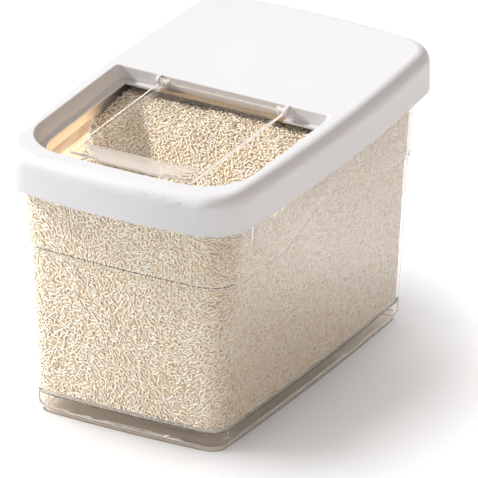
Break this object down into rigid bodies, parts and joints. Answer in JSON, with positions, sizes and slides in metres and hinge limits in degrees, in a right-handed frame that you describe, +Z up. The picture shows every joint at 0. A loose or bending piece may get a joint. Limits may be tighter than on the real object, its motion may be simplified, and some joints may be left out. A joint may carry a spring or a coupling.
{
  "type": "rice storage bin",
  "caption": "Clear rectangular grain bin with a lift-off white lid; a sunken clear window in the lid's front half holds a hinged clear pouring flap.",
  "frame": {"origin": "middle of the base, on the surface that the bin stands on", "axes": "+Z up, -Y towards the pouring end, +X to the right for someone who looks at the pouring end from outside"},
  "size_m": [0.242, 0.3756, 0.2475],
  "materials": {
    "tub_clear": "clear, polished, water-white moulded plastic",
    "lid_white": "cool white, satin moulded plastic",
    "seal_silicone": "translucent white silicone",
    "window_clear": "clear, polished",
    "flap_clear": "clear, polished",
    "pin_white": "white acetal"
  },
  "bodies": {
    "tub": {"container": "tub_clear"},
    "lid": {"lid_shell": "lid_white", "lid_gasket": "seal_silicone", "window_panel": "window_clear", "hinge_pin_left": "pin_white", "hinge_pin_right": "pin_white"},
    "flap": {"pour_flap": "flap_clear"}
  },
  "joints": [
    {"name": "lid_lift", "type": "slide", "parent": "tub", "child": "lid", "axis": [0, 0, 1], "range_m": [0, 0.16]},
    {"name": "flap_hinge", "type": "hinge", "parent": "lid", "child": "flap", "pos_m": [0, 0.007, 0.2434], "axis": [-1, 0, 0], "range_deg": [0, 138]}
  ]
}
